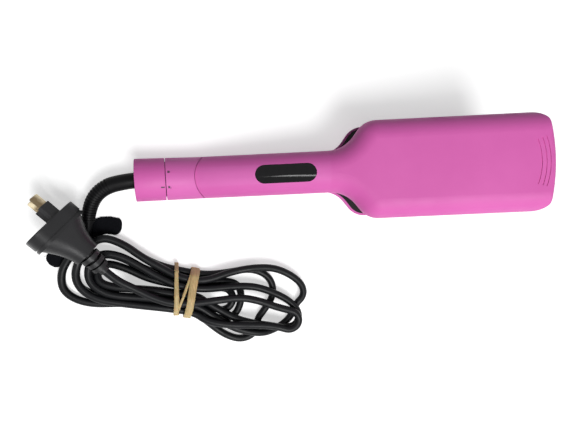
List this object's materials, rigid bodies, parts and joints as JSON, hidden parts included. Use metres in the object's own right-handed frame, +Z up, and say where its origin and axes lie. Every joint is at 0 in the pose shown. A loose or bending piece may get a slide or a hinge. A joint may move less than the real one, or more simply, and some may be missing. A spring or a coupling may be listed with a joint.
{
  "type": "hair straightener",
  "caption": "Wide-plate hair straightener, held open, with floating plates, a turning lock ring at the tail, a display window and a bundled mains cord with a plug.",
  "frame": {"origin": "on the table under the middle of the body's length, between the tail end and the lower arm's tip", "axes": "+X from the tail to the tip, +Y across to the left when looking from the tail to the tip, +Z up"},
  "size_m": [0.3556, 0.1611, 0.0948],
  "materials": {
    "soft_pink": "soft-touch matt",
    "mark_grey": "printed",
    "black_plastic": "fine matt",
    "cap_black": "satin",
    "pin_steel": "ground",
    "spring_steel": "drawn",
    "bolt_nylon": "moulded",
    "plate_ceramic": "ceramic coating over aluminium",
    "heater_white": "ceramic",
    "clamp_steel": "rolled",
    "silicone": "moulded",
    "window_black": "gloss",
    "module_grey": "moulded",
    "board_green": "solder mask",
    "part_black": "moulded",
    "button_pink": "moulded",
    "screw_steel": "blackened",
    "fuse_metal": "plain",
    "cord_black": "smooth PVC",
    "band_rubber": "smooth",
    "strap_black": "woven",
    "plug_black": "moulded",
    "blade_brass": "nickelled"
  },
  "bodies": {
    "lower_arm": {"lower_shell": "soft_pink", "rear_cover": "soft_pink", "lock_icons": "mark_grey", "tail_frame": "black_plastic", "hinge_pin": "pin_steel", "tail_cap": "cap_black", "lower_frame": "black_plastic", "hinge_spring": "spring_steel", "lower_screws": "screw_steel", "power_board": "board_green", "power_parts": "part_black"},
    "upper_arm": {"upper_shell": "soft_pink", "upper_frame": "black_plastic", "display_window": "window_black", "display_module": "module_grey", "control_board": "board_green", "board_parts": "part_black", "upper_screws": "screw_steel"},
    "upper_plate_set": {"upper_plate": "plate_ceramic", "upper_heater": "heater_white", "upper_heater_clamp": "clamp_steel", "upper_cushions": "silicone", "heat_sensor": "part_black"},
    "lower_plate_set": {"lower_plate": "plate_ceramic", "lower_heater": "heater_white", "lower_heater_clamp": "clamp_steel", "lower_cushions": "silicone", "thermal_fuse": "fuse_metal"},
    "ring": {"lock_ring": "soft_pink", "index_mark": "mark_grey"},
    "bolt": {"lock_bolt": "bolt_nylon"},
    "power_key": {"power_button": "button_pink"},
    "plus_key": {"plus_button": "button_pink"},
    "minus_key": {"minus_button": "button_pink"},
    "cord_set": {"cord_swivel": "bolt_nylon", "cord_guard": "plug_black", "cord_tube": "cord_black", "cord_hank": "cord_black", "plug_lead": "cord_black", "rubber_band": "band_rubber", "cord_strap": "strap_black", "plug_body": "plug_black", "plug_relief": "plug_black", "plug_blades": "blade_brass", "blade_sleeves": "plug_black"}
  },
  "joints": [
    {"name": "arm_hinge", "type": "hinge", "parent": "lower_arm", "child": "upper_arm", "pos_m": [-0.09775, 0, 0.0148], "axis": [0, 1, 0], "range_deg": [0, 16], "stiffness_Nm_per_rad": 0.9, "springref_deg": -25.78, "deforming": ["hinge_spring"]},
    {"name": "upper_plate_float", "type": "slide", "parent": "upper_arm", "child": "upper_plate_set", "axis": [-0.2756, 0, 0.9613], "range_m": [0, 0.0008], "stiffness_N_per_m": 4000, "springref_m": -0.002},
    {"name": "lower_plate_float", "type": "slide", "parent": "lower_arm", "child": "lower_plate_set", "axis": [0, 0, -1], "range_m": [0, 0.0008], "stiffness_N_per_m": 4000, "springref_m": -0.002},
    {"name": "ring_turn", "type": "hinge", "parent": "lower_arm", "child": "ring", "pos_m": [-0.13425, 0, 0.0148], "axis": [-1, 0, 0], "range_deg": [0, 40.5]},
    {"name": "bolt_slide", "type": "slide", "parent": "lower_arm", "child": "bolt", "axis": [1, 0, 0], "range_m": [0, 0.0031]},
    {"name": "power_press", "type": "slide", "parent": "upper_arm", "child": "power_key", "axis": [-0.2756, 0, 0.9613], "range_m": [0, 0.00045], "stiffness_N_per_m": 400, "springref_m": -0.0008},
    {"name": "plus_press", "type": "slide", "parent": "upper_arm", "child": "plus_key", "axis": [-0.2756, 0, 0.9613], "range_m": [0, 0.00045], "stiffness_N_per_m": 400, "springref_m": -0.0008},
    {"name": "minus_press", "type": "slide", "parent": "upper_arm", "child": "minus_key", "axis": [-0.2756, 0, 0.9613], "range_m": [0, 0.00045], "stiffness_N_per_m": 400, "springref_m": -0.0008},
    {"name": "cord_turn", "type": "hinge", "parent": "lower_arm", "child": "cord_set", "pos_m": [-0.13825, 0, 0.0148], "axis": [1, 0, 0], "continuous": true}
  ],
  "couplings": [
    {"joint": "bolt_slide", "follows": "ring_turn", "m_per_rad": 0.004244}
  ]
}
